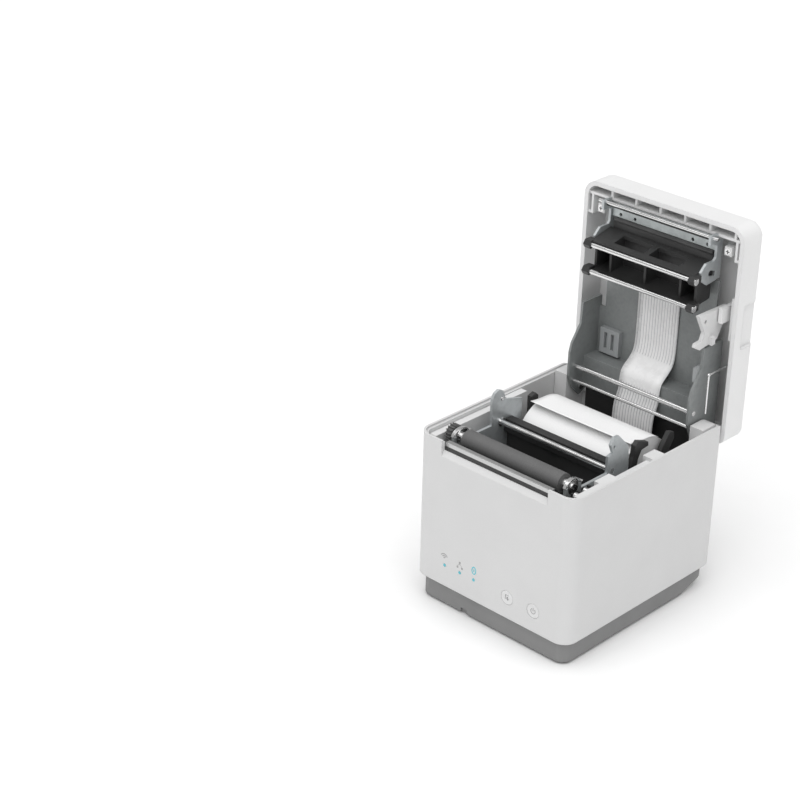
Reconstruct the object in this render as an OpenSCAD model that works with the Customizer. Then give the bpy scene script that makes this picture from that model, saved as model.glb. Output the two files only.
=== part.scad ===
// Compact clamshell receipt printer, drawn with its lid open.
// Origin: centre of the base on the table. +Z up, -Y front, +X right.
// Lid pieces are drawn as closed and swung open by on_lid().

/* [Case] */
// Outside width of the case, in mm
body_w = 90; // [84:0.5:96]
// Front face of the case
case_front = -52.5; // [-56:0.5:-50]
// Height of the case rim
rim_z = 83.5; // [80:0.5:88]
// Height where the white case meets the grey base
case_bottom = 12; // [10:0.5:16]
// Thickness of the moulded walls
wall = 2.2; // [1.6:0.1:3]
// Radius of the upright corners
corner_r = 7; // [5:0.5:9]

/* [Base] */
// How far the base sits in from the case
base_inset = 2.5; // [1:0.1:4]
// Height of the rubber feet
foot_h = 1.2; // [0.8:0.1:2]

/* [Lid] */
// Hinge axis, distance behind the centre
hinge_y = 45.5; // [44:0.1:47]
// Hinge axis, height
hinge_z = 76.2; // [75:0.1:78]
// Radius of the rounded rear edge of the case
roll_r = 7.3; // [6:0.1:7.4]
// Depth of the lid cover
lid_h = 15.5; // [14:0.5:18]
// Gap between the case rim and the closed lid
lid_gap = 0.4; // [0.3:0.1:0.8]
// Outside width of the lid
lid_w = 88; // [84:0.5:90]

/* [Paper] */
// Width of the paper
paper_w = 57.6; // [57:0.1:58]
// Outside radius of the paper roll
paper_r = 19.5; // [15:0.5:19.5]
// Distance of the roll axis from the centre
roll_y = 14.5; // [13:0.1:15]
// Height of the roll axis
roll_z = 63; // [60:0.1:63]

/* [Print mechanism] */
// Distance of the platen axis from the centre
platen_y = -38.7; // [-39:0.1:-38]
// Height of the platen axis
platen_z = 80.5; // [79:0.1:81]
// Radius of the rubber platen
platen_r = 4.5; // [4:0.1:4.5]
// Tooth size of the drive gears (module)
gear_module = 0.5; // [0.4:0.05:0.6]

/* [Hidden] */
$fn = 64;
half_w = body_w / 2;
case_back = hinge_y + roll_r;
lid_rim = rim_z + lid_gap;
lid_top = lid_rim + lid_h;
lid_half = lid_w / 2;
lid_back = 50.5;
base_half = half_w - base_inset;
base_front = case_front + base_inset;
base_back = case_back - base_inset;
frame_in = 31.2;
frame_out = 32.6;
plate_in = 33.6;
plate_out = 34.8;
bay_in = 29.7;
bay_out = 30.9;
roll_clear = 0.6;
shaft_y = -12.6;
shaft_z = 78.6;
rod_z = 70.2;
rod_y = [-28.8, -16];
rod_r = 1.1;
tie_y = [33.7, 40.7];
tie_z = [71.7, 70.9];
tie_r = [1.2, 0.9];
lever_y = -11.4;
lever_z = 85;
button_x = [11.1, 26];
button_z = 22.3;
led_x = [-26, -16.9, -8.6];
led_z = 22.6;
platen_teeth = 16;
idler_teeth = 40;
pinion_teeth = 12;
gear_x = [-37.4, -34.2];
idler_turn = -60;
pinion_turn = -53;
idler_reach = gear_module * (platen_teeth + idler_teeth) / 2;
pinion_reach = gear_module * (idler_teeth + pinion_teeth) / 2;
idler_y = platen_y + idler_reach * cos(idler_turn);
idler_z = platen_z + idler_reach * sin(idler_turn);
motor_y = idler_y + pinion_reach * cos(pinion_turn);
motor_z = idler_z + pinion_reach * sin(pinion_turn);
idler_phase = idler_turn + 180 + 180 / idler_teeth;
pinion_phase = pinion_turn + 180 + 180 / pinion_teeth
    - (idler_phase - pinion_turn) * idler_teeth / pinion_teeth;
ports_z = [15, 29];

base_tray();
rubber_feet();
upper_case();
inner_trim();
front_board();
main_board();
mech_frame();
platen_bushings();
guide_strip();
tear_bar();
cross_shaft();
paper_bay();
paper_guides();
rear_shield();
stepper_motor();
hinge_pins();
power_inlet();
data_port();
drawer_port();
network_port();
led_lenses();
case_screws();
paper_tail();
feed_button();
power_button();
platen_roller();
platen_shaft();
platen_gear();
idler_gear();
motor_pinion();
paper_roll();
roll_core();
on_lid() lid_cover();
on_lid() lid_frame();
on_lid() head_brackets();
on_lid() head_plate();
on_lid() thermal_head();
on_lid() guide_cradle();
on_lid() cradle_rod(0);  // cradle_rod_upper
on_lid() cradle_rod(1);  // cradle_rod_lower
on_lid() front_rod();
on_lid() tie_rod(0);  // tie_rod_upper
on_lid() tie_rod(1);  // tie_rod_lower
on_lid() cable_clip();
on_lid() plate_clip();
on_lid() lid_wire();
on_lid() lid_screws();
on_lid() latch_lever();
flex_ribbon();

// ---------- helpers ----------

// Swings a piece from the closed lid to the open lid.
module on_lid() {
    translate([0, hinge_y, hinge_z])
        rotate([-90, 0, 0])
            translate([0, -hinge_y, -hinge_z])
                children();
}

// Box given by its low and high corners.
module span(low, high) {
    translate(low) cube(high - low);
}

// Flat rectangle with round corners.
module round_rect(x0, y0, x1, y1, r) {
    translate([x0 + r, y0]) square([x1 - x0 - 2 * r, y1 - y0]);
    translate([x0, y0 + r]) square([x1 - x0, y1 - y0 - 2 * r]);
    for (x = [x0 + r, x1 - r], y = [y0 + r, y1 - r])
        translate([x, y]) circle(r);
}

// Upright block with round corners.
module round_block(x0, y0, x1, y1, z0, z1, r) {
    translate([0, 0, z0]) linear_extrude(z1 - z0) round_rect(x0, y0, x1, y1, r);
}

// Outline in the Y-Z plane, carried along X from x0 to x1.
module side_slab(x0, x1, outline) {
    translate([x0, 0, 0]) rotate([90, 0, 90]) linear_extrude(x1 - x0) polygon(outline);
}

// Round bar along X.
module x_bar(x0, x1, y, z, r) {
    translate([x0, y, z]) rotate([0, 90, 0]) cylinder(h = x1 - x0, r = r);
}

// Round bar along Y.
module y_bar(y0, y1, x, z, r) {
    translate([x, y0, z]) rotate([-90, 0, 0]) cylinder(h = y1 - y0, r = r);
}

// Spur gear on an axis along X, with one tooth pointing at the angle phase.
module spur_gear(teeth, y, z, phase, bore) {
    pitch_r = gear_module * teeth / 2;
    root_r = pitch_r - 0.9 * gear_module;
    tip_r = pitch_r + 0.6 * gear_module;
    step = 360 / teeth;
    translate([gear_x[0], y, z])
        rotate([90, 0, 90])
            difference() {
                linear_extrude(gear_x[1] - gear_x[0])
                    polygon([
                        for (i = [0 : teeth - 1], k = [0 : 3])
                            let (a = phase + i * step + step * [-0.27, -0.1, 0.1, 0.27][k])
                            let (r = [root_r, tip_r, tip_r, root_r][k])
                            [r * cos(a), r * sin(a)]
                    ]);
                translate([0, 0, -1]) cylinder(h = 6, r = bore);
            }
}

// Everything behind the hinge that the lid sweeps through, to be cut away.
module behind_roll() {
    difference() {
        span([-60, hinge_y, hinge_z], [60, hinge_y + 20, hinge_z + 20]);
        x_bar(-61, 61, hinge_y, hinge_z, roll_r);
    }
}

// ---------- case and base ----------

module base_tray() {
    color("#88898A")
    union() {
        difference() {
            round_block(-base_half, base_front, base_half, base_back, foot_h, case_bottom + 3, 5.5);
            intersection() {
                round_block(-base_half + wall, base_front + wall, base_half - wall,
                    base_back - wall, 0, 30, 3.5);
                side_slab(-base_half, base_half, [
                    [base_front, foot_h + 2], [32, foot_h + 2], [base_back, 8.6],
                    [base_back, 30], [base_front, 30]
                ]);
            }
            side_slab(-half_w, half_w, [[33, foot_h], [60, 9], [60, -1], [33, -1]]);
            span([-17.6, base_front - 1, 0], [-14, base_front + 1, 3.2]);
            span([-31.5, base_back - 4, 11], [31.5, base_back + 4, 20]);
        }
        for (x = [-26, 26], y = [-41, -5, 31])
            translate([x, y, foot_h + 1]) cylinder(h = 40.4 - foot_h - 1, r = 2.4);
    }
}

module rubber_feet() {
    color("#303032")
    for (p = [[-34, -42], [34, -42], [-34, 27], [34, 27], [0, 0]])
        translate([p[0], p[1], 0]) cylinder(h = foot_h, r = 4.5);
}

module upper_case() {
    color("#E6E6E6")
    difference() {
        round_block(-half_w, case_front, half_w, case_back, case_bottom, rim_z, corner_r);
        round_block(-half_w + wall, case_front + wall, half_w - wall, case_back - wall,
            case_bottom - 1, rim_z + 10, corner_r - wall);
        behind_roll();
        rim_step();
        side_slab(-30.3, 30.3, [
            [case_front - 1, 75], [case_front, 76], [case_front + wall, 78.4],
            [case_front + wall + 1, 78.4], [case_front + wall + 1, 90], [case_front - 1, 90]
        ]);
        for (side = [-1, 1])
            translate([side * (plate_in + plate_out) / 2 - 1, case_back - 4, 70.5])
                cube([2, 8, 30]);
        span([-31, case_back - 4, case_bottom - 1], [31, case_back + 4, 31.5]);
        for (x = button_x)
            y_bar(case_front - 1, case_front + 4, x, button_z, 3.5);
        for (x = led_x)
            y_bar(case_front - 1, case_front + 4, x, led_z, 0.8);
    }
}

// Shallow step round the inside of the rim.
module rim_step() {
    round_block(-half_w + 1.1, case_front + 1.1, half_w - 1.1, case_back - 1.1,
        rim_z - 1.1, rim_z + 5, corner_r - 1.1);
}

module inner_trim() {
    trim_x = half_w - wall - 0.2;
    color("#F0F0F0")
    difference() {
        union() {
            span([39, -46, 60], [trim_x, -29.6, 81.6]);
            span([36.4, -29.6, 60], [trim_x, -20, 81.6]);
            span([-trim_x, -47, 60], [-38.9, 2, 80.6]);
            span([37.8, -20, 60], [trim_x, 4, 79.6]);
            span([36, 4, 60], [trim_x, 12, 81.4]);
            span([39.2, 12, 60], [trim_x, 38, 78.6]);
            span([-trim_x, 2, 60], [-39, 14, 82]);
            for (side = [0, 1])
                mirror([side, 0, 0])
                    span([35.6, 38, 60], [trim_x, case_back - wall - 0.2, rim_z]);
        }
        behind_roll();
        for (side = [0, 1])
            mirror([side, 0, 0]) {
                trim_corner(case_front, case_front + corner_r);
                trim_corner(case_back, case_back - corner_r);
            }
        for (side = [-1, 1])
            x_bar(side * 38 - 2.6, side * 38 + 2.6, hinge_y, hinge_z, 1.6);
    }
}

// Cuts an upright edge of the trim back to the inside of the case's round corner.
module trim_corner(y_face, y_centre) {
    difference() {
        span([half_w - corner_r, min(y_face, y_centre), 50], [half_w, max(y_face, y_centre), 90]);
        translate([half_w - corner_r, y_centre, 50]) cylinder(h = 40, r = corner_r - wall - 0.2);
    }
}

module led_lenses() {
    color("#49C5E0")
    for (x = led_x)
        y_bar(case_front - 0.1, case_front + 3.5, x, led_z, 0.75);
}

module button_at(x) {
    union() {
        y_bar(case_front + 0.1, case_front + 3.7, x, button_z, 3.4);
        y_bar(case_front + wall + 0.8, case_front + wall + 1.6, x, button_z, 4.2);
    }
}

module feed_button() {
    color("#DADADA") button_at(button_x[0]);
}

module power_button() {
    color("#DADADA") button_at(button_x[1]);
}

module case_screws() {
    color("#A0A4A6")
    for (x = [-37, 37])
        y_bar(case_back, case_back + 0.5, x, 36, 2.2);
}

// ---------- electronics ----------

module front_board() {
    color("#2E6B45")
    span([-31, -47.4, 15.5], [32, -46.2, 30]);
}

module main_board() {
    color("#2E6B45")
    union() {
        span([-21.5, -36, 9], [21.5, 40.4, 10.6]);
        span([-12.5, 37.2, 10.6], [12.5, 40.4, 14]);
        for (x = [-18, 18], y = [-32, 25])
            translate([x, y, foot_h + 2]) cylinder(h = 9 - foot_h - 2, r = 1.8);
    }
}

// Socket box at the rear with an opening cut from its back face.
module socket_box(x0, x1) {
    difference() {
        span([x0, 41.6, ports_z[0]], [x1, 51.4, ports_z[1]]);
        children();
    }
}

module power_inlet() {
    color("#2A2A2C")
    socket_box(-29, -17) {
        y_bar(43.6, 52, -23, 22, 4);
    }
}

module data_port() {
    color("#9A9EA0")
    socket_box(-13.5, -2) {
        difference() {
            span([-12, 43.6, 17], [-3.5, 52, 27]);
            span([-9.8, 43, 20], [-5.7, 50, 24]);
        }
    }
}

module drawer_port() {
    color("#2A2A2C")
    socket_box(1.5, 14) {
        span([3, 43.6, 17], [12.5, 52, 25]);
        span([5.5, 43.6, 25], [10, 52, 27.4]);
    }
}

module network_port() {
    color("#9A9EA0")
    socket_box(16, 30) {
        span([17.2, 43.6, 16.8], [28.8, 52, 25]);
        span([20, 43.6, 25], [26, 52, 27.6]);
    }
}

// ---------- print mechanism ----------

module mech_frame() {
    color("#9BA1A2")
    difference() {
        union() {
            span([-frame_out, -43.6, 40.4], [frame_out, -9.4, 41.6]);
            for (side = [0, 1])
                mirror([side, 0, 0])
                    side_slab(frame_in, frame_out, [
                        [-43.6, 40.4], [-1.3, 40.4], [-1.3, 78.4], [-33.4, 78.4],
                        [-33.4, 81.2], [-43.6, 81.2]
                    ]);
            side_slab(frame_in, frame_out, [
                [-16, 78], [-16, 86.5], [-12.8, 87], [-14.8, 91.5], [-12.6, 94.4],
                [-9.5, 94.4], [-2.3, 87.1], [-1.3, 78]
            ]);
            side_slab(-frame_out, -frame_in, [
                [-18.7, 78], [-18.7, 91.6], [-17.2, 94], [-14.6, 95], [-12, 93.8],
                [-10.6, 91], [-10.3, 88.9], [1.6, 85.6], [1.6, 76], [-2, 76]
            ]);
            x_bar(gear_x[0] - 0.6, -frame_in, idler_y, idler_z, 1.5);
        }
        x_bar(-40, 40, -12.3, 89.9, 0.8);
        x_bar(-40, 40, platen_y, platen_z, 3.4);
        span([-40, platen_y - 3.4, platen_z], [40, platen_y + 3.4, platen_z + 10]);
        x_bar(-40, 40, shaft_y, shaft_z, 1.2);
        x_bar(-40, 0, motor_y, motor_z, 2);
    }
}

module platen_bushings() {
    color("#B8BCBE")
    for (side = [0, 1])
        mirror([side, 0, 0])
            difference() {
                union() {
                    x_bar(frame_in, frame_out, platen_y, platen_z, 3.4);
                    x_bar(30.5, frame_in, platen_y, platen_z, 3.9);
                }
                x_bar(30, 34, platen_y, platen_z, 2.05);
            }
}

module guide_strip() {
    color("#C4C8CA")
    span([-30, -50.2, 80.4], [30, -47.7, 82.2]);
}

module tear_bar() {
    color("#2A2A2C")
    span([-30, case_front + wall + 0.1, 73], [30, -48, 80.4]);
}

module cross_shaft() {
    color("#D8DCDE")
    x_bar(-frame_out, frame_out, shaft_y, shaft_z, 1.2);
}

module stepper_motor() {
    color("#3A3C3E")
    union() {
        x_bar(-30.9, -15.5, motor_y, motor_z, 9);
        x_bar(-15.5, -14.5, motor_y, motor_z, 3);
    }
}

module platen_roller() {
    color("#5A5C5B")
    difference() {
        x_bar(-27.5, 27.5, platen_y, platen_z, platen_r);
        x_bar(-28, 28, platen_y, platen_z, 2.6);
    }
}

module platen_shaft() {
    color("#C9CCCE")
    union() {
        x_bar(gear_x[0], 33, platen_y, platen_z, 2);
        x_bar(-29.5, 29.5, platen_y, platen_z, 2.6);
    }
}

module platen_gear() {
    color("#4A4B4C")
    spur_gear(platen_teeth, platen_y, platen_z, idler_turn, 2);
}

module idler_gear() {
    color("#4A4B4C")
    spur_gear(idler_teeth, idler_y, idler_z, idler_phase, 1.55);
}

module motor_pinion() {
    color("#B9A36A")
    union() {
        spur_gear(pinion_teeth, motor_y, motor_z, pinion_phase, 1.2);
        x_bar(gear_x[0], -30.95, motor_y, motor_z, 1.2);
    }
}

// ---------- paper ----------

module paper_bay() {
    inner_front = roll_y - paper_r - roll_clear;
    inner_back = roll_y + paper_r + roll_clear;
    color("#2E2E30")
    difference() {
        union() {
            span([-bay_out, inner_front - 2.5, 40.4], [bay_out, inner_back + 1.4, 69]);
            span([-bay_out, inner_front - 2.5, 69], [bay_out, inner_front, 79.3]);
            span([-bay_out, inner_front - 4.3, 76.8], [bay_out, inner_front, 79.3]);
            span([-bay_out, inner_front - 5, 73.4], [bay_out, inner_front, 75.4]);
        }
        x_bar(-bay_in, bay_in, roll_y, roll_z, paper_r + roll_clear);
        span([-bay_in, inner_front, roll_z], [bay_in, inner_back, 90]);
    }
}

module paper_guides() {
    color("#343436")
    union() {
        side_slab(bay_out, 33.2, [
            [-0.6, 60], [5, 60], [3.6, 74], [4.6, 78.5], [6.6, 82], [11.2, 82.4], [11, 84.4],
            [4, 87], [2, 85.4], [1.2, 79.9], [-0.4, 75.3]
        ]);
        side_slab(bay_out, 33.2, [
            [20.4, 60], [26, 60], [26.4, 74], [30, 79.4], [29.6, 82.6], [26.6, 83.4],
            [22.6, 78.4], [20.4, 75]
        ]);
        side_slab(-33.2, -bay_out, [
            [7.6, 60], [12.4, 60], [12.4, 83.4], [10.8, 85], [7.6, 84]
        ]);
    }
}

// Thin dark screen inside the rear wall, behind the ribbon.
module rear_shield() {
    color("#2E2E30")
    span([-32.4, 49, 41], [32.4, case_back - wall - 0.1, 79]);
}

module paper_roll() {
    color("#F4F4F2")
    difference() {
        x_bar(-paper_w / 2, paper_w / 2, roll_y, roll_z, paper_r);
        x_bar(-40, 40, roll_y, roll_z, 8);
    }
}

module roll_core() {
    color("#C9B28C")
    difference() {
        x_bar(-paper_w / 2, paper_w / 2, roll_y, roll_z, 8);
        x_bar(-40, 40, roll_y, roll_z, 6.5);
    }
}

// Loose end of the paper, lying over the roll and lifting towards the platen.
module paper_tail() {
    color("#FAFAF8")
    side_slab(-paper_w / 2, paper_w / 2, concat(
        [for (a = [58 : 4 : 90]) on_roll(a, 0.4)],
        [[9.5, roll_z + paper_r + 0.7], [4.3, roll_z + paper_r + 1.4]],
        [[4.3, roll_z + paper_r + 1.7], [9.5, roll_z + paper_r + 1]],
        [for (a = [90 : -4 : 58]) on_roll(a, 0.7)]
    ));
}

// Point at the angle a, the distance off outside the paper roll.
function on_roll(a, off) =
    [roll_y + (paper_r + off) * cos(a), roll_z + (paper_r + off) * sin(a)];

// ---------- lid ----------

module hinge_pins() {
    color("#C9CCCE")
    for (side = [0, 1])
        mirror([side, 0, 0])
            x_bar(32.4, 40.6, hinge_y, hinge_z, 1.6);
}

// Outline of the lid, with the corner radius a at the front and b at the rear.
module lid_outline(x0, y0, x1, y1, a, b) {
    union() {
        round_rect(x0, y0, x1, y1 - 30, a);
        round_rect(x0, y0 + 30, x1, y1, b);
    }
}

// Solid lid with a top edge of radius e, and the corner radii a and b as above.
module soft_block(x0, y0, x1, y1, z0, z1, a, b, e) {
    translate([0, 0, z0]) linear_extrude(z1 - e - z0) lid_outline(x0, y0, x1, y1, a, b);
    translate([0, 0, z0]) linear_extrude(z1 - z0)
        lid_outline(x0 + e, y0 + e, x1 - e, y1 - e, a - e, b - e);
    for (x = [x0 + e, x1 - e])
        y_bar(y0 + a, y1 - b, x, z1 - e, e);
    x_bar(x0 + a, x1 - a, y0 + e, z1 - e, e);
    x_bar(x0 + b, x1 - b, y1 - e, z1 - e, e);
    for (x = [x0 + a, x1 - a])
        translate([x, y0 + a, z1 - e])
            rotate_extrude() translate([a - e, 0]) circle(e);
    for (x = [x0 + b, x1 - b])
        translate([x, y1 - b, z1 - e]) sphere(e);
}

module lid_cover() {
    rib_low = lid_rim + 0.8;
    roof = lid_top - 2;
    color("#F4F4F4")
    difference() {
        union() {
            difference() {
                soft_block(-lid_half, case_front, lid_half, lid_back, lid_rim, lid_top,
                    corner_r, 3.6, 3.5);
                round_block(-lid_half + wall, case_front + wall, lid_half - wall,
                    lid_back - wall, lid_rim - 1, roof, corner_r - wall);
            }
            span([-lid_half + 1, -46.9, rib_low], [lid_half - 1, -45.7, roof + 1]);
            for (i = [0 : 5])
                span([-29.5 + 13.5 * i, case_front + 1, rib_low], [-28.3 + 13.5 * i, -46, roof + 1]);
            for (side = [0, 1])
                mirror([side, 0, 0]) {
                    span([39.2, -46, rib_low], [40.4, -36.5, roof + 1]);
                    span([39.2, -37.7, rib_low], [lid_half - 1, -36.5, roof + 1]);
                    span([33.2, -42, 85.4], [37, -38, roof + 1]);
                }
            span([35.9, -15, 81.6], [38, -7.8, roof + 1]);
            span([39.2, -30, 89], [lid_half - 1, 46, roof + 1]);
            span([39.2, -19, 86], [lid_half - 1, 1, roof + 1]);
            x_bar(33, 36, lever_y, lever_z, 1.2);
        }
        side_scoop();
    }
}

// Finger scoop in the right side of the lid.
module side_scoop() {
    span([lid_half - 1.7, -16, lid_rim + 5], [lid_half + 5, 5, lid_top + 5]);
}

module lid_frame() {
    color("#7E8386")
    difference() {
        union() {
            span([-30.4, -24, 87.6], [30.4, 8, 88.8]);
            span([-plate_in, 8, 87.6], [plate_in, 31.9, 88.8]);
            span([-plate_in, 30.7, 78.2], [plate_in, 31.9, 87.6]);
            span([-plate_in, 31.9, 78.2], [plate_in, 45.3, 79.4]);
            for (side = [0, 1])
                mirror([side, 0, 0])
                    side_plate();
        }
        x_bar(-40, 40, hinge_y, hinge_z, 1.66);
        for (i = [0, 1])
            x_bar(-40, 40, tie_y[i], tie_z[i], tie_r[i]);
    }
}

// Outer plate of the lid frame, ending in the hinge eye.
module side_plate() {
    side_slab(plate_in, plate_out, [
        [3, 88.8], [3, 75.2], [13.5, 74.6], [21.5, 69], [26, 67.8], [38, 67.8],
        [45.5, 71.3], [50.3, 76.2], [46.6, 83], [46.6, 88.8]
    ]);
}

module head_brackets() {
    color("#9BA1A2")
    difference() {
        for (side = [0, 1])
            mirror([side, 0, 0])
                side_slab(28.8, 30, [
                    [-47.2, 79], [-47.2, 84.4], [-45.4, 84.4], [-45.4, 88.3], [-25.5, 88.3],
                    [-24.5, 79], [-27.5, 74.6], [-31.5, 74], [-34.8, 77.5], [-34.8, 83.2], [-36, 84.4], [-41.4, 84.4],
                    [-42.6, 83.2], [-42.6, 79]
                ]);
        x_bar(-40, 40, -46, 80.7, 0.8);
        x_bar(-40, 40, -29.5, 81, 1.4);
        side_slab(-40, 40, [[-30.9, 80.5], [-28.1, 80.5], [-27.4, 84.5], [-29.8, 84.9]]);
    }
}

module head_plate() {
    color("#A8AEAE")
    difference() {
        union() {
            span([-28.6, -45.4, 85.6], [28.6, -38.5, 87.4]);
            span([-28.6, -45.4, 84.8], [28.6, -43.9, 85.6]);
        }
        for (x = [-24, -16, 16, 24])
            translate([x, -40, 80]) cylinder(h = 10, r = 0.8);
    }
}

module thermal_head() {
    color("#4A4A4C")
    span([-27.4, -38.3, 85.2], [27.4, -31, 87.4]);
}

module guide_cradle() {
    color("#303032")
    difference() {
        union() {
            side_slab(-28.4, 28.4, [[-33.4, 84.5], [-31.9, 84.5], [-28.2, 71.9], [-30.4, 70.2]]);
            side_slab(-28.4, 28.4, [[-17.9, 84.5], [-16.4, 84.5], [-14.6, 71.9], [-16.6, 70.2]]);
            span([-28.4, -33, 83.3], [28.4, -16.8, 84.5]);
            for (x = [-28.4, -20, -0.6, 18.8, 27.2])
                side_slab(x, x + 1.2, [
                    [-32.9, 84.4], [-16.8, 84.4], [-15.8, 76.5], [-16.4, 74.4], [-30, 74.4]
                ]);
            for (side = [0, 1], y = rod_y)
                mirror([side, 0, 0])
                    side_slab(27.2, 30.8, [
                        [y - 2, rod_z - 0.6], [y, rod_z - 2], [y + 1.9, rod_z - 0.8],
                        [y + 1.4, rod_z + 3.2], [y - 2, rod_z + 3.4]
                    ]);
        }
        for (y = rod_y)
            x_bar(-40, 40, y, rod_z, rod_r);
        for (x = [[-18, -1.4], [1.4, 18]])
            side_slab(x[0], x[1], [[-36, 81.5], [-28, 81.5], [-28, 75], [-34, 73.5]]);
    }
}

module cradle_rod(i) {
    color("#D8DCDE")
    x_bar(-30.8, 30.8, rod_y[i], rod_z, rod_r);
}

module front_rod() {
    color("#D8DCDE")
    x_bar(-32.8, 32.8, -46, 80.7, 0.8);
}

module tie_rod(i) {
    color("#C9CCCE")
    x_bar(-plate_out, plate_out, tie_y[i], tie_z[i], tie_r[i]);
}

module cable_clip() {
    color("#9A9E9F")
    difference() {
        span([-30.4, 17, 85], [-19.4, 29.5, 87.6]);
        for (x = [-28, -24])
            span([x, 19, 84], [x + 1.8, 27, 86.8]);
    }
}

module plate_clip() {
    color("#A4A8A9")
    difference() {
        span([32, 12, 72], [plate_in, 19, 78]);
        span([31, 13.6, 73.6], [plate_in - 0.5, 17.4, 76.4]);
    }
}

module lid_wire() {
    color("#B8BCBE")
    union() {
        y_bar(14.7, 33.7, 38, 75.7, 0.5);
        translate([38, 14.7, 75.7]) sphere(0.8);
        translate([38, 14.7, 75.7]) cylinder(h = lid_top - 2 - 75.7, r = 0.5);
    }
}

module lid_screws() {
    color("#B8BCBE")
    for (side = [-1, 1])
        translate([side * 35.1, -40, 85]) cylinder(h = 0.4, r = 1.6);
}

module latch_lever() {
    color("#D9DAD8")
    difference() {
        union() {
            side_slab(33.3, 35.3, [
                [-14.4, 68.3], [-13.9, 89], [-9.7, 89], [0.5, 83.2], [2.2, 70.7],
                [0.3, 67.4], [-1.4, 68], [-1.6, 72], [-5.1, 73.5]
            ]);
            side_slab(35.3, 37.4, [[-2.6, 79], [1, 79], [1.2, 76.6], [-2.4, 76.6]]);
        }
        x_bar(30, 40, lever_y, lever_z, 1.25);
        x_bar(30, 40, -10.5, 73.4, 0.9);
    }
}

// Flat ribbon cable, from the print head over the hinge to the main board.
module flex_ribbon() {
    top = [
        for (p = [[-30, 87.1], [18, 87.1], [22.5, 86.3], [25.8, 83.4], [28, 80.2], [30.4, 77.6],
            [34, 77.2], [39.4, 77.3]])
            [hinge_y + p[1] - hinge_z, hinge_z - p[0] + hinge_y]
    ];
    line = concat(top, [[43.9, 77.4], [43.2, 72], [43.2, 42], [42.4, 38.4], [39.4, 34.6],
        [38.6, 31.4], [38.6, 14.2]]);
    color("#E4E4E4")
    for (i = [0 : len(line) - 2])
        ribbon_strip(line[i], line[i + 1]);
}

// One flat stretch of the ribbon between two points of its line.
module ribbon_strip(a, b) {
    d = (b - a) / norm(b - a);
    n = [-d[1], d[0]] * 0.13;
    side_slab(-11.5, 11.5, [a - n - d * 0.05, b - n + d * 0.05, b + n + d * 0.05, a + n - d * 0.05]);
}
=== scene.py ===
"""Looks of a compact clamshell receipt printer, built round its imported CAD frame."""
import math

import bmesh
import bpy
from mathutils import Matrix, Vector


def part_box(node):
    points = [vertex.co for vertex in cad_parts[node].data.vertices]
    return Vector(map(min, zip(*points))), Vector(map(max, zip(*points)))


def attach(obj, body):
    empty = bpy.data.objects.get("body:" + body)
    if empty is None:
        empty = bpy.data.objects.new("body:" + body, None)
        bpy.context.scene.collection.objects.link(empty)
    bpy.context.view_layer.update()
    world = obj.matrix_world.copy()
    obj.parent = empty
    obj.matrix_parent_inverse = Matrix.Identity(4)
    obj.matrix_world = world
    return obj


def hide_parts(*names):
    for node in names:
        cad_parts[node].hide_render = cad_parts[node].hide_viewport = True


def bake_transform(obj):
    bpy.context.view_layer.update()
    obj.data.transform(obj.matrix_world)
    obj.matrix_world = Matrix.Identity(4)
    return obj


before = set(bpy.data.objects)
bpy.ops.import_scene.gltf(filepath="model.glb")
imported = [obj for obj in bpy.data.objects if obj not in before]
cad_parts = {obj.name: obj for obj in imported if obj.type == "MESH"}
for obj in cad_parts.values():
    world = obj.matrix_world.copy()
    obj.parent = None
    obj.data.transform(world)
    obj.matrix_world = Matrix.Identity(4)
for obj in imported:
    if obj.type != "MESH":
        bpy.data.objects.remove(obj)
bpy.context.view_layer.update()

MM = 0.001
HINGE_Y, HINGE_Z = 45.5, 76.2
SIDES = ((-1, "left"), (1, "right"))


# ---------- small helpers ----------

def mm(x, y, z):
    """A point given in millimetres."""
    return Vector((x, y, z)) * MM


def on_lid(x, y, z):
    """A point of the closed lid, in millimetres, carried to the open lid."""
    return mm(x, HINGE_Y + z - HINGE_Z, HINGE_Z - y + HINGE_Y)


def face(name, side):
    """One coordinate of a CAD node's box in millimetres, such as face("upper_case", "y0")."""
    axis, end = "xyz".index(side[0]), int(side[1])
    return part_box(name)[end][axis] / MM


def middle(name):
    """The middle of a CAD node's box."""
    low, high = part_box(name)
    return (low + high) / 2


# ---------- node graphs of the materials ----------

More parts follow.
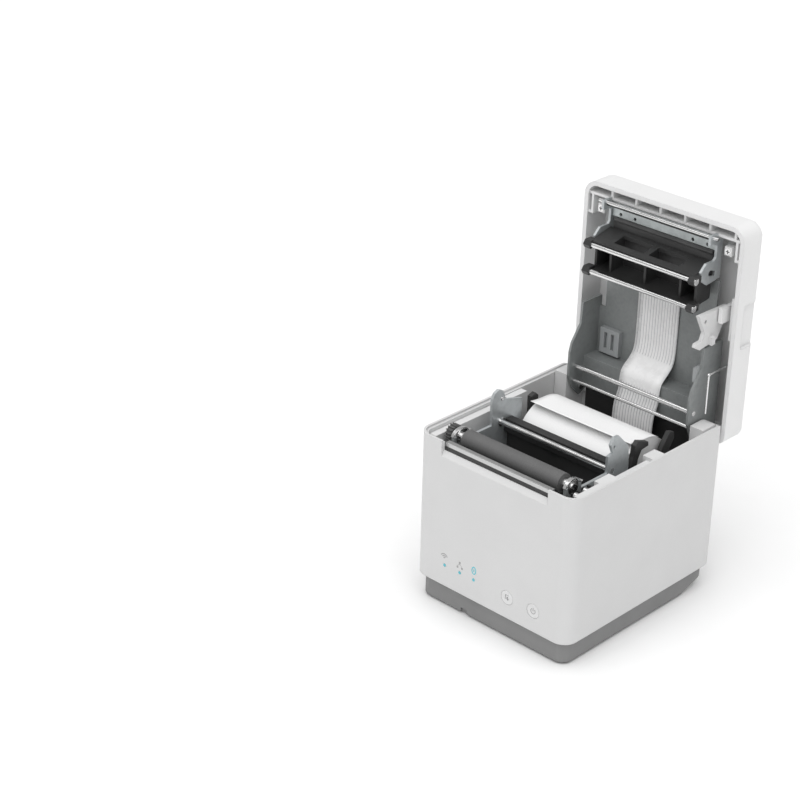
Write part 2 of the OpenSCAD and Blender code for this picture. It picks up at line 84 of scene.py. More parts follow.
class Graph:
    """A material's node tree, with short calls for the nodes that every finish here uses."""

    def __init__(self, name):
        self.material = bpy.data.materials.new(name)
        self.material.use_nodes = True
        self.tree = self.material.node_tree
        self.shader = self.tree.nodes["Principled BSDF"]
        self.place = self.add("ShaderNodeTexCoord").outputs["Object"]

    def add(self, kind, **settings):
        node = self.tree.nodes.new(kind)
        for key, value in settings.items():
            setattr(node, key, value)
        return node

    def feed(self, socket, value):
        if isinstance(value, bpy.types.NodeSocket):
            self.tree.links.new(value, socket)
        else:
            socket.default_value = value

    def math(self, operation, a, b=0.0, clamp=False):
        node = self.add("ShaderNodeMath", operation=operation, use_clamp=clamp)
        self.feed(node.inputs[0], a)
        self.feed(node.inputs[1], b)
        return node.outputs[0]

    def vector(self, operation, a, b):
        node = self.add("ShaderNodeVectorMath", operation=operation)
        self.feed(node.inputs[0], a)
        self.feed(node.inputs[1], b)
        return node.outputs["Value" if operation == "DOT_PRODUCT" else "Vector"]

    def stretched(self, scale):
        node = self.add("ShaderNodeMapping")
        self.feed(node.inputs["Vector"], self.place)
        node.inputs["Scale"].default_value = scale
        return node.outputs["Vector"]

    def noise(self, size_mm, detail=3.0, place=None):
        node = self.add("ShaderNodeTexNoise")
        self.feed(node.inputs["Vector"], place or self.place)
        node.inputs["Scale"].default_value = 1000.0 / size_mm
        node.inputs["Detail"].default_value = detail
        return node.outputs["Fac"]

    def cells(self, size_mm, feature="F1"):
        node = self.add("ShaderNodeTexVoronoi", feature=feature)
        self.feed(node.inputs["Vector"], self.place)
        node.inputs["Scale"].default_value = 1000.0 / size_mm
        return node.outputs["Distance"]

    def ramp(self, value, low, high, from_low=0.35, from_high=0.65):
        node = self.add("ShaderNodeMapRange")
        self.feed(node.inputs["Value"], value)
        node.inputs["From Min"].default_value = from_low
        node.inputs["From Max"].default_value = from_high
        node.inputs["To Min"].default_value = low
        node.inputs["To Max"].default_value = high
        return node.outputs["Result"]

    def mix(self, factor, a, b):
        node = self.add("ShaderNodeMix", data_type="RGBA")
        self.feed(node.inputs["Factor"], factor)
        self.feed(node.inputs[6], a)
        self.feed(node.inputs[7], b)
        return node.outputs[2]

    def round_edges(self, radius_mm):
        node = self.add("ShaderNodeBevel", samples=4)
        node.inputs["Radius"].default_value = radius_mm * MM
        return node.outputs["Normal"]

    def edge_mask(self, rounded):
        flat = self.add("ShaderNodeNewGeometry").outputs["Normal"]
        away = self.math("SUBTRACT", 1.0, self.vector("DOT_PRODUCT", rounded, flat))
        return self.math("MULTIPLY", away, 4.0, clamp=True)

    def bump(self, height, depth_mm, rounded=None, strength=1.0):
        node = self.add("ShaderNodeBump")
        node.inputs["Strength"].default_value = strength
        node.inputs["Distance"].default_value = depth_mm * MM
        self.feed(node.inputs["Height"], height)
        if rounded is not None:
            self.feed(node.inputs["Normal"], rounded)
        return node.outputs["Normal"]

    def finish(self, colour, roughness, normal, metal=0.0, **extra):
        self.feed(self.shader.inputs["Base Color"], colour)
        self.feed(self.shader.inputs["Roughness"], roughness)
        self.feed(self.shader.inputs["Normal"], normal)
        self.shader.inputs["Metallic"].default_value = metal
        for key, value in extra.items():
            self.shader.inputs[key.replace("_", " ")].default_value = value
        return self.material


def shade(colour, factor):
    """A grey level or RGB colour made lighter or darker, with alpha."""
    rgb = (colour,) * 3 if isinstance(colour, float) else colour
    return tuple(min(1.0, c * factor) for c in rgb) + (1.0,)


def moulded(name, colour, rough=0.42, grain_mm=0.35, depth=0.006, edge=0.35, edge_light_and_wear=0.12, mottle=0.03):
    """Injection-moulded plastic: spark-eroded grain, faint mottling, and edges made lighter, partly as
    rubbed wear and partly as a painted highlight.
    """
    g = Graph(name)
    rounded = g.round_edges(edge)
    broad = g.noise(22.0, 2.0)
    fine = g.noise(grain_mm, 2.0)
    body = g.mix(g.ramp(broad, 0.0, 1.0), shade(colour, 1 - mottle), shade(colour, 1 + mottle))
    speck = g.mix(g.ramp(fine, 0.0, 0.35), body, shade(colour, 0.94))
    # Edges mixed towards a lighter colour: partly rubbed wear, partly a painted highlight along every
    # edge.
    lit_and_rubbed = g.mix(g.math("MULTIPLY", g.edge_mask(rounded), edge_light_and_wear), speck, shade(colour, 1.35))
    roughness = g.ramp(g.noise(6.0, 4.0), rough - 0.05, rough + 0.07)
    return g.finish(lit_and_rubbed, roughness, g.bump(fine, depth, rounded), Specular_IOR_Level=0.45)


def plated_sheet(name, colour, rough=0.4, metal=0.85, edge=0.15):
    """Zinc-plated or painted sheet metal: soft spangle, rolling lines and lighter edges, partly bare
    cut metal and partly a painted highlight.
    """
    g = Graph(name)
    rounded = g.round_edges(edge)
    rolled = g.noise(1.2, 3.0, g.stretched((1.0, 12.0, 1.0)))
    spangle = g.cells(2.6)
    tone = g.mix(g.ramp(spangle, 0.0, 1.0, 0.0, 0.6), shade(colour, 0.93), shade(colour, 1.07))
    lined = g.mix(g.ramp(rolled, 0.0, 0.5), tone, shade(colour, 0.88))
    # Edges mixed towards a much lighter colour: partly bare cut metal, partly a painted highlight along
    # every edge.
    bare_and_lit_edges = g.mix(g.math("MULTIPLY", g.edge_mask(rounded), 0.45), lined, shade(colour, 1.7))
    roughness = g.ramp(g.noise(3.0, 4.0), rough - 0.06, rough + 0.1)
    return g.finish(bare_and_lit_edges, roughness, g.bump(rolled, 0.004, rounded), metal)


def drawn_steel(name, colour, rough=0.18, along=(0.02, 1.0, 1.0), edge=0.1, metal=1.0):
    """Ground or drawn bright steel with fine scratches and faint handling marks."""
    g = Graph(name)
    rounded = g.round_edges(edge)
    scratch = g.noise(0.3, 2.0, g.stretched(along))
    smudge = g.noise(4.0, 3.0)
    tone = g.mix(g.ramp(scratch, 0.0, 0.5), shade(colour, 1.0), shade(colour, 0.93))
    roughness = g.ramp(smudge, rough - 0.04, rough + 0.08)
    return g.finish(tone, roughness, g.bump(scratch, 0.0006, rounded), metal)


def rubber(name, colour, rough=0.75, grain_mm=0.5, dust=0.08):
    """Ground rubber: fine pores and a trace of pale dust."""
    g = Graph(name)
    rounded = g.round_edges(0.3)
    pores = g.noise(grain_mm, 4.0)
    film = g.noise(7.0, 5.0)
    dusty = g.mix(g.ramp(film, 0.0, dust, 0.45, 0.8), shade(colour, 1.0), (0.5, 0.5, 0.48, 1.0))
    tone = g.mix(g.ramp(pores, 0.0, 0.6), dusty, shade(colour, 0.75))
    return g.finish(tone, g.ramp(pores, rough - 0.08, rough + 0.1), g.bump(pores, 0.02, rounded))


def thermal_paper(name, colour):
    """Smooth coated paper, with the edges of its many layers on the ends of the roll."""
    g = Graph(name)
    from_axis = g.vector("SUBTRACT", g.place, tuple(middle("paper_roll")))
    flat = g.vector("MULTIPLY", from_axis, (0.0, 1.0, 1.0))
    radius = g.add("ShaderNodeVectorMath", operation="LENGTH")
    g.feed(radius.inputs[0], flat)
    wobble = g.math("MULTIPLY", g.noise(3.0, 3.0), 1.2)
    turns = g.math("SINE", g.math("ADD", g.math("MULTIPLY", radius.outputs["Value"], 11000.0), wobble))
    parts = g.add("ShaderNodeSeparateXYZ")
    g.feed(parts.inputs[0], g.add("ShaderNodeNewGeometry").outputs["Normal"])
    on_end = g.math("GREATER_THAN", g.math("ABSOLUTE", parts.outputs["X"]), 0.7)
    layers = g.math("MULTIPLY", g.ramp(turns, 0.0, 0.5, -1.0, 1.0), on_end)
    fibre = g.noise(0.5, 4.0)
    sheet = g.mix(g.ramp(fibre, 0.0, 1.0), shade(colour, 0.98), shade(colour, 1.02))
    tone = g.mix(layers, sheet, shade(colour, 0.72))
    bump = g.bump(g.math("ADD", g.math("MULTIPLY", fibre, 0.3), layers), 0.02)
    return g.finish(tone, g.ramp(fibre, 0.48, 0.6), bump, Specular_IOR_Level=0.3)


def card(name, colour):
    """Grey-brown card of the roll's core, with long fibres and a spiral seam."""
    g = Graph(name)
    fibre = g.noise(0.8, 5.0, g.stretched((1.0, 4.0, 4.0)))
    tone = g.mix(g.ramp(fibre, 0.0, 1.0), shade(colour, 0.85), shade(colour, 1.12))
    return g.finish(tone, g.ramp(fibre, 0.75, 0.9), g.bump(fibre, 0.05))


def solder_mask(name, colour):
    """Circuit board: copper tracks showing as lighter lines under the green mask."""
    g = Graph(name)
    grid = g.add("ShaderNodeTexBrick")
    g.feed(grid.inputs["Vector"], g.place)
    grid.inputs["Scale"].default_value = 420.0
    grid.inputs["Mortar Size"].default_value = 0.04
    tracks = grid.outputs["Fac"]
    tone = g.mix(tracks, shade(colour, 1.0), shade(colour, 1.8))
    return g.finish(tone, g.ramp(g.noise(2.0), 0.28, 0.4), g.bump(tracks, 0.03), Coat_Weight=0.3)


def lens(name, colour, glow=0.5):
    """Small clear light guide with a soft glow and fine surface ripple."""
    g = Graph(name)
    ripple = g.noise(0.4, 2.0)
    tone = g.mix(g.ramp(ripple, 0.0, 1.0), shade(colour, 0.85), shade(colour, 1.15))
    g.shader.inputs["Emission Color"].default_value = shade(colour, 1.0)
    g.shader.inputs["Emission Strength"].default_value = glow
    return g.finish(tone, g.ramp(ripple, 0.12, 0.25), g.bump(ripple, 0.004), Coat_Weight=0.5)


def flat_cable(name, colour, line_colour, pitch_mm=1.55):
    """Flat ribbon cable: fine lines along it, which stop where its stiffener covers them."""
    g = Graph(name)
    parts = g.add("ShaderNodeSeparateXYZ")
    g.feed(parts.inputs[0], g.place)
    wave = g.math("SINE", g.math("MULTIPLY", parts.outputs["X"], 2 * math.pi / (pitch_mm * MM)))
    line = g.ramp(wave, 0.0, 1.0, 0.35, 0.9)
    bare = g.add("ShaderNodeAttribute", attribute_name="plain").outputs["Fac"]
    shown = g.math("MULTIPLY", line, g.math("SUBTRACT", 1.0, bare), clamp=True)
    film = g.noise(3.0, 3.0)
    base = g.mix(g.ramp(film, 0.0, 1.0), shade(colour, 0.985), shade(colour, 1.015))
    tone = g.mix(shown, base, shade(line_colour, 1.0))
    bump = g.bump(g.math("ADD", shown, g.math("MULTIPLY", film, 0.2)), 0.02)
    return g.finish(tone, g.ramp(film, 0.22, 0.36), bump, Coat_Weight=0.2)


def printed(name, colour):
    """Pad-printed ink: slightly uneven, matte."""
    g = Graph(name)
    ink = g.noise(0.3, 3.0)
    tone = g.mix(g.ramp(ink, 0.0, 1.0), shade(colour, 0.9), shade(colour, 1.1))
    return g.finish(tone, g.ramp(ink, 0.5, 0.65), g.bump(ink, 0.003))


def glazed(name):
    """Glazed ceramic of the print head: dark, smooth, with a faint resin unevenness."""
    g = Graph(name)
    rounded = g.round_edges(0.15)
    flow = g.noise(5.0, 3.0, g.stretched((0.3, 1.0, 1.0)))
    tone = g.mix(g.ramp(flow, 0.0, 1.0), shade(0.05, 1.0), shade(0.075, 1.0))
    return g.finish(tone, g.ramp(flow, 0.3, 0.42), g.bump(flow, 0.02, rounded), Coat_Weight=0.2)


FINISHES = {
    "base_grey": lambda n: moulded(n, 0.235, 0.55, 0.5, 0.012, 0.5, 0.08),
    "rubber": lambda n: rubber(n, 0.028),
    "case_white": lambda n: moulded(n, 0.66, 0.4, 0.4, 0.004, 0.6, 0.6, 0.012),
    "trim_white": lambda n: moulded(n, 0.7, 0.42, 0.4, 0.004, 0.4, 0.6, 0.015),
    "circuit_green": lambda n: solder_mask(n, (0.03, 0.15, 0.06)),
    "steel_sheet": lambda n: plated_sheet(n, (0.5, 0.525, 0.535), 0.42, 0.6),
    "steel_bright": lambda n: drawn_steel(n, 0.8),
    "steel_strip": lambda n: drawn_steel(n, 0.58, 0.32, (1.0, 0.05, 1.0)),
    "black_plastic": lambda n: moulded(n, 0.03, 0.42, 0.3, 0.008, 0.25, 0.1, 0.12),
    "motor_steel": lambda n: plated_sheet(n, 0.1, 0.45, 0.6),
    "connector_steel": lambda n: plated_sheet(n, 0.5, 0.3, 1.0),
    "led_cyan": lambda n: lens(n, (0.09, 0.4, 0.46), 0.22),
    "paper": lambda n: thermal_paper(n, 0.86),
    "ribbon_white": lambda n: flat_cable(n, 0.95, (0.62, 0.62, 0.63)),
    "button_grey": lambda n: moulded(n, 0.72, 0.38, 0.3, 0.003, 0.25, 0.2, 0.01),
    "platen_rubber": lambda n: rubber(n, 0.125, 0.6, 0.35, 0.04),
    "gear_plastic": lambda n: moulded(n, 0.1, 0.4, 0.6, 0.004, 0.1, 0.2),
    "pinion_brass": lambda n: drawn_steel(n, (0.72, 0.52, 0.22), 0.3),
    "card_core": lambda n: card(n, (0.42, 0.33, 0.22)),
    "lid_white": lambda n: moulded(n, 0.8, 0.4, 0.4, 0.004, 0.5, 0.3, 0.012),
    "frame_grey": lambda n: plated_sheet(n, (0.25, 0.262, 0.262), 0.45, 0.15, 0.2),
    "head_aluminium": lambda n: plated_sheet(n, (0.46, 0.49, 0.49), 0.38, 0.75, 0.12),
    "head_dark": lambda n: glazed(n),
    "clip_grey": lambda n: moulded(n, (0.36, 0.375, 0.38), 0.4, 0.4, 0.006, 0.2, 0.2),
    "lever_pale": lambda n: moulded(n, 0.68, 0.36, 0.4, 0.004, 0.25, 0.2, 0.02),
    "ink_grey": lambda n: printed(n, 0.34),
    "contact_gold": lambda n: drawn_steel(n, (0.85, 0.62, 0.28), 0.25),
}


MATERIALS = {name: make(name) for name, make in FINISHES.items()}


def finish_cad_nodes():
    """Gives each carried-over CAD node the detailed material of its slot."""
    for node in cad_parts.values():
        for place in node.material_slots:
            place.material = MATERIALS[place.material.name.split(".")[0]]


# ---------- mesh code ----------

def box(bm, low, high):
    """A block between two corners, in millimetres."""
    x, y, z = zip(low, high)
    made = bmesh.ops.create_cube(bm, size=1.0)["verts"]
    for v in made:
        v.co = mm(x[v.co.x > 0], y[v.co.y > 0], z[v.co.z > 0])
    return made


def ring(bm, centre, across, up, r, sides):
    """A ring of vertices round a point."""
    return [
        bm.verts.new(centre + (across * math.cos(a) + up * math.sin(a)) * r)
        for a in (2 * math.pi * i / sides for i in range(sides))
    ]


def skin(bm, first, second):
    """Joins two rings of vertices with faces."""
    count = len(first)
    for i in range(count):
        j = (i + 1) % count
        bm.faces.new((first[i], first[j], second[j], second[i]))


def lathe(bm, origin, axis, profile, sides=32):
    """Turns a profile of (distance along the axis, radius) pairs, in millimetres, round an axis."""
    axis = Vector(axis).normalized()
    across = axis.orthogonal().normalized()
    up = axis.cross(across)
    rings = [
        ring(bm, Vector(origin) + axis * along * MM, across, up, r * MM, sides)
        for along, r in profile
    ]
    for first, second in zip(rings, rings[1:]):
        skin(bm, first, second)
    bm.faces.new(rings[0][::-1])
    bm.faces.new(rings[-1])


def tube(bm, path, r, sides=10):
    """A round wire of radius r millimetres along a path of points."""
    rings = []
    up = None
    for i, point in enumerate(path):
        ahead = path[min(i + 1, len(path) - 1)] - path[max(i - 1, 0)]
        ahead.normalize()
        if up is None:
            up = ahead.orthogonal()
        across = ahead.cross(up).normalized()
        up = across.cross(ahead).normalized()
        rings.append(ring(bm, point, across, up, r * MM, sides))
    for first, second in zip(rings, rings[1:]):
        skin(bm, first, second)
    bm.faces.new(rings[0][::-1])
    bm.faces.new(rings[-1])


def strip(bm, path, width, thick, side):
    """A flat bar of metal bent along a path; side is the direction of its width."""
    side = Vector(side).normalized()
    rows = []
    for i, point in enumerate(path):
        ahead = (path[min(i + 1, len(path) - 1)] - path[max(i - 1, 0)]).normalized()
        up = side.cross(ahead).normalized()
        rows.append([
            bm.verts.new(point + side * s * width * MM / 2 + up * t * thick * MM / 2)
            for s, t in ((-1, -1), (1, -1), (1, 1), (-1, 1))
        ])
    for first, second in zip(rows, rows[1:]):
        skin(bm, first, second)
    bm.faces.new(rows[0][::-1])
    bm.faces.new(rows[-1])


def plate(bm, outline, low, high, to_point):
    """A flat plate: outline points (a, b) carried from low to high by to_point(a, b, depth)."""
    back = [bm.verts.new(to_point(a, b, low)) for a, b in outline]
    front = [bm.verts.new(to_point(a, b, high)) for a, b in outline]
    skin(bm, back, front)
    bm.faces.new(back[::-1])
    bm.faces.new(front)


def piece(name, bm, body, slot, material=None, smooth=40.0, edge=0.0):
    """Makes an object from the mesh, gives it its finish and lets it ride on a CAD body."""
    bmesh.ops.recalc_face_normals(bm, faces=bm.faces)
    mesh = bpy.data.meshes.new(name)
    bm.to_mesh(mesh)
    bm.free()
    obj = bpy.data.objects.new(name, mesh)
    bpy.context.scene.collection.objects.link(obj)
    mesh.materials.append(MATERIALS[material or slot])
    if smooth:
        mesh.shade_smooth()
        mesh.set_sharp_from_angle(angle=math.radians(smooth))
    if edge:
        bevel = obj.modifiers.new("edge", "BEVEL")
        bevel.width = edge * MM
        bevel.segments = 2
        bevel.limit_method = "ANGLE"
    if body:
        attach(obj, body)
    return obj


def smooth_path(points, per_span=6):
    """A smooth curve through points (Catmull-Rom)."""
    ends = [points[0] * 2 - points[1]] + points + [points[-1] * 2 - points[-2]]
    out = []
    for a, b, c, d in zip(ends, ends[1:], ends[2:], ends[3:]):
        for i in range(per_span):
            t = i / per_span
            out.append(0.5 * (
                b * 2 + (c - a) * t + (a * 2 - b * 5 + c * 4 - d) * t * t
                + (b * 3 - a - c * 3 + d) * t ** 3
            ))
    out.append(points[-1].copy())
    return out


# ---------- front panel ----------

FRONT = face("upper_case", "y0")
INK = 0.04  # height of printed ink, in millimetres


def on_front(x, z, out):
    """A point on the front panel, out millimetres in front of it."""
    return mm(x, FRONT - out, z)


def arc(x, z, r, start, end, steps=14):
    """Points of an arc on the front panel, angles in degrees."""
    span = [math.radians(start + (end - start) * i / steps) for i in range(steps + 1)]
    return [(x + r * math.cos(a), z + r * math.sin(a)) for a in span]


def stroke(bm, points, width, out=INK):
    """A printed line through points, its face out millimetres in front of the panel."""
    path = [on_front(x, z, out - INK) for x, z in points]
    strip(bm, path, 2 * INK, width, (0, -1, 0))


def dot(bm, x, z, r):
    """A printed round dot on the front panel."""
    sunk = 0.05
    lathe(bm, on_front(x, z, -sunk), (0, -1, 0), [(0, r), (INK + sunk, r)], 20)


def round_points(x, z, wide, high, count):
    """Points of a closed oval on the front panel, with its first point again at the end."""
    turn = [2 * math.pi * i / count for i in range(count + 1)]
    return [(x + wide * math.cos(a), z + high * math.sin(a)) for a in turn]


def signal_icon(x=-26.4, z=26.3):
    """Two radio waves over a dot."""
    bm = bmesh.new()
    for r in (1.1, 2.0):
        stroke(bm, arc(x, z, r, 25, 155), 0.42)
    dot(bm, x, z + 0.1, 0.42)
    piece("icon_signal", bm, "case", "case_white", "ink_grey")


def network_icon(x=-17, z=27.6):
    """A square joined to two squares below it."""
    half = 0.5
    spots = [(x, z), (x - 1.3, z - 2.4), (x + 1.4, z - 2.4)]
    bm = bmesh.new()
    for a, b in spots:
        box(bm, (a - half, FRONT - INK, b - half), (a + half, FRONT + INK, b + half))
    for a, b in spots[1:]:
        stroke(bm, [(x, z - 0.7), ((a + x) / 2, z - 1.2), (a, b + 0.7)], 0.16)
    piece("icon_network", bm, "case", "case_white", "ink_grey")


def link_icon(x=-8.6, z=27.3):
    """A lit oval with a short bar in it."""
    bm = bmesh.new()
    stroke(bm, round_points(x, z, 1.1, 1.75, 32), 0.55)
    stroke(bm, [(x, z - 0.7), (x, z), (x, z + 0.7)], 0.5)
    piece("icon_link", bm, "case", "led_cyan")


def key_cap(name, x, body, draw_symbol):
    """Dished face of a round key, with its moulded rim, its symbol and a thin grey ring sunk in the gap
    round it, which is painted shade of that gap.
    """
    z = sum(face(name + "_button", side) for side in ("z0", "z1")) / 2
    front = face(name + "_button", "y0") - FRONT
    cap = bmesh.new()
    lathe(cap, on_front(x, z, -front - 0.36), (0, -1, 0), [
        (0, 3.3), (0.32, 3.34), (0.5, 3.22), (0.54, 3.05), (0.5, 2.85), (0.42, 2.5),
        (0.38, 1.5), (0.36, 0.4),
    ], 48)
    piece(name + "_cap", cap, body, "button_grey", smooth=60)
    symbol = bmesh.new()
    draw_symbol(symbol, x, z)
    piece(name + "_symbol", symbol, body, "button_grey", "ink_grey")
    # Thin grey ring in the gap round the key: painted shade of the gap.
    gap_shade_ring = bmesh.new()
    path = [on_front(a, b, -0.12) for a, b in round_points(x, z, 3.47, 3.47, 48)]
    tube(gap_shade_ring, path, 0.07, 6)
    piece(name + "_groove", gap_shade_ring, "case", "case_white", "ink_grey")


def feed_symbol(bm, x, z):
    """A sheet corner with a small arrow: advance the paper."""
    stroke(bm, [(x - 1.0, z + 1.2), (x - 1.0, z), (x - 1.0, z - 1.1)], 0.26, 0.0)
    stroke(bm, [(x - 1.0, z + 1.2), (x, z + 1.2), (x + 0.9, z + 1.2)], 0.26, 0.0)
    stroke(bm, [(x + 0.35, z + 0.6), (x + 0.35, z), (x + 0.35, z - 1.1)], 0.26, 0.0)
    stroke(bm, [(x - 0.35, z - 0.35), (x + 0.35, z - 1.2), (x + 1.05, z - 0.35)], 0.26, 0.0)


def power_symbol(bm, x, z):
    """The usual open ring with a bar."""
    stroke(bm, arc(x, z - 0.1, 1.25, 125, 415, 24), 0.28, 0.0)
    stroke(bm, [(x, z + 1.5), (x, z + 0.8), (x, z + 0.2)], 0.28, 0.0)


# ---------- paper and ribbon ----------

def curled_paper():
    """Loose end of the paper: one thin sheet that leaves the roll and lifts towards the front."""
    low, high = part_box("paper_tail")
    roll_low, roll_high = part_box("paper_roll")
    y_axis = (roll_low.y + roll_high.y) / 2 / MM
    z_axis = (roll_low.z + roll_high.z) / 2 / MM
    r = (roll_high.z - roll_low.z) / 2 / MM + 0.35
    on_roll = [(y_axis + r * math.cos(math.radians(a)), z_axis + r * math.sin(math.radians(a)))
               for a in range(58, 91, 4)]
    lifted = [(y_axis - 3.2, z_axis + r + 0.15), (y_axis - 6.4, z_axis + r + 0.42),
              (low.y / MM + 0.05, z_axis + r + 0.95)]
    line = smooth_path([Vector((0, y, z)) for y, z in on_roll + lifted], 3)
    half = (high.x - low.x) / 2
    columns = 24
    bm = bmesh.new()
    rows = []
    for i, point in enumerate(line):
        loose = max(0.0, (i - len(line) * 0.72) / (len(line) * 0.28))
        row = []
        for j in range(columns + 1):
            s = 2 * j / columns - 1
            lift = loose * (0.28 * s * s + 0.12 * math.sin(2.2 * s + 0.6) - 0.1)
            row.append(bm.verts.new((half * s, point.y * MM, (point.z + lift) * MM)))
        rows.append(row)
    for first, second in zip(rows, rows[1:]):
        for j in range(columns):
            bm.faces.new((first[j], first[j + 1], second[j + 1], second[j]))
    sheet = piece("paper_end", bm, "case", "paper", smooth=80)
    thick = sheet.modifiers.new("thickness", "SOLIDIFY")
    thick.thickness = 0.08 * MM
    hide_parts("paper_tail")


RIBBON_LINE = [  # the ribbon's middle line, (y, z) in millimetres on the open lid
    (56.4, 151.5), (56.4, 128), (56.4, 112), (56.3, 104.5), (55.3, 99.3), (52.6, 96.0),
    (49.5, 93.6), (47.4, 91.2), (46.6, 87.6), (46.2, 82.3), (44.2, 77.6), (43.3, 72),
    (43.2, 58), (43.2, 43), (42.3, 38.5), (39.4, 34.6), (38.7, 31), (38.6, 22), (38.6, 14.4),
]


def ribbon_cable():
    """Flat ribbon from the print head, over the hinge and down to the main board."""
    half = (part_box("flex_ribbon")[1].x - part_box("flex_ribbon")[0].x) / 2
    line = smooth_path([Vector((0, y, z)) for y, z in RIBBON_LINE], 8)
    columns = 6
    bm = bmesh.new()
    plain = bm.verts.layers.float.new("plain")
    rows = []
    for point in line:
        bare = 1.0 if 86.5 < point.z < 98.5 else 0.0
        row = []
        for j in range(columns + 1):
            s = 2 * j / columns - 1
            vertex = bm.verts.new((half * s, (point.y - 0.12 * s * s) * MM, point.z * MM))
            vertex[plain] = bare
            row.append(vertex)
        rows.append(row)
    for first, second in zip(rows, rows[1:]):
        for j in range(columns):
            bm.faces.new((first[j], first[j + 1], second[j + 1], second[j]))
    ribbon = piece("ribbon_cable", bm, None, "ribbon_white", smooth=80)
    thick = ribbon.modifiers.new("thickness", "SOLIDIFY")
    thick.thickness = 0.25 * MM
    thick.offset = 0.0
    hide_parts("flex_ribbon")
    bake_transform(ribbon)


# ---------- print mechanism ----------

FRAME_INSIDE = 31.2  # inner faces of the steel frame, distance from the middle in millimetres
CLIP_THICK = 0.45  # thickness of a snap ring, in millimetres


def e_clip(name, point, axis, body, r):
    """A snap ring on a shaft: a flat ring with an open mouth."""
    axis = Vector(axis).normalized()
    across = Vector((0, 0, 1))
    up = axis.cross(across)
    outer, inner = [], []
    for i in range(25):
        a = math.radians(30 + 300 * i / 24)
        way = across * math.cos(a) + up * math.sin(a)
        outer.append(way * r * MM)
        inner.append(way * r * (0.52 + 0.12 * (i % 12 == 0)) * MM)
    bm = bmesh.new()
    columns = []
    for o, n in zip(outer, inner):
        columns.append([bm.verts.new(point + p + axis * d * CLIP_THICK * MM)
                        for p, d in ((o, 0), (o, 1), (n, 1), (n, 0))])
    for first, second in zip(columns, columns[1:]):
        skin(bm, first, second)
    bm.faces.new(columns[0][::-1])
    bm.faces.new(columns[-1])
    piece(name, bm, body, "steel_bright", smooth=30, edge=0.06)


def platen_springs():
    """Small bent latches that hold the platen's bearings down."""
    y, z = -38.7, 80.5
    hump = [(-5.2, 0.9), (-4.4, 2.4), (-2.6, 3.6), (-0.4, 4.0), (1.8, 3.7), (3.8, 2.6), (4.9, 1.0),
            (6.2, 1.2)]
    for side, word in SIDES:
        bm = bmesh.new()
        path = [mm(side * 31.9, y + along, z + up) for along, up in hump]
        strip(bm, smooth_path(path, 4), 1.6, 0.35, (1, 0, 0))
        piece(f"platen_latch_{word}", bm, "case", "steel_bright", smooth=50, edge=0.05)


def tear_edge():
    """Serrated edge along the front strip, where the paper is torn."""
    x0, x1 = face("guide_strip", "x0") + 1, face("guide_strip", "x1") - 1
    y, z = face("guide_strip", "y0"), face("guide_strip", "z1")
    teeth = 44
    pitch = (x1 - x0) / teeth
    outline = [(x0, 1.0)]
    for i in range(teeth):
        outline += [(x0 + pitch * i, 0.0), (x0 + pitch * (i + 0.5), -0.6)]
    outline += [(x1, 0.0), (x1, 1.0)]
    bm = bmesh.new()
    plate(bm, outline, -0.02, 0.24, lambda a, b, d: mm(a, y + 0.25 + b, z + d))
    piece("tear_edge", bm, "case", "steel_strip", smooth=0)


def head_parts():
    """Dark seal behind the front rod, and the raised heater line of the print head."""
    seal = bmesh.new()
    for v in box(seal, (-29, -45.3, 81.2), (29, -44.2, 82.4)):
        v.co = on_lid(*(v.co / MM))
    piece("head_seal", seal, "lid", "black_plastic", edge=0.2)
    line = bmesh.new()
    y, z = -37.0, 85.2
    profile = [(-0.9, 0.0), (-0.5, 0.22), (0.0, 0.3), (0.5, 0.22), (0.9, 0.0)]
    plate(line, profile, -27.2, 27.2, lambda a, b, d: on_lid(d, y + a, z - b))
    piece("heater_line", line, "lid", "head_dark", smooth=60)


def rod_clips():
    """Snap rings at the ends of the guide rods and the cross shaft."""
    for name in ("cradle_rod_upper", "cradle_rod_lower"):
        _, y, z = middle(name) / MM
        e_clip(f"{name}_clip", mm(face(name, "x1") - 0.4, y, z), (1, 0, 0), "lid", 1.7)
    _, y, z = middle("cross_shaft") / MM
    for x, word in ((-FRAME_INSIDE, "left"), (FRAME_INSIDE - CLIP_THICK, "right")):
        e_clip(f"cross_shaft_clip_{word}", mm(x, y, z), (1, 0, 0), "case", 2.1)


def rivet(name, point, axis, body, r):
    """A domed rivet or pin head."""
    bm = bmesh.new()
    lathe(bm, point, axis, [(-0.4, r * 0.7), (0.0, r * 0.75), (0.02, r), (0.18, r * 0.95),
                            (0.32, r * 0.7), (0.38, r * 0.25)], 24)
    piece(name, bm, body, "steel_bright", smooth=60)


def rivets():
    """Pin heads on the latch lever and in the left steel ear."""
    face_x = face("latch_lever", "x0")
    pins = (("pivot", 54.3, 133.1, 1.5), ("hook", 42.7, 132.2, 0.95), ("stop", 51.2, 128.0, 0.7))
    for word, y, z, r in pins:
        rivet(f"lever_pin_{word}", mm(face_x, y, z), (-1, 0, 0), "lever", r)
    rivet("ear_pin_left", mm(-FRAME_INSIDE, -12.3, 89.9), (1, 0, 0), "case", 0.95)


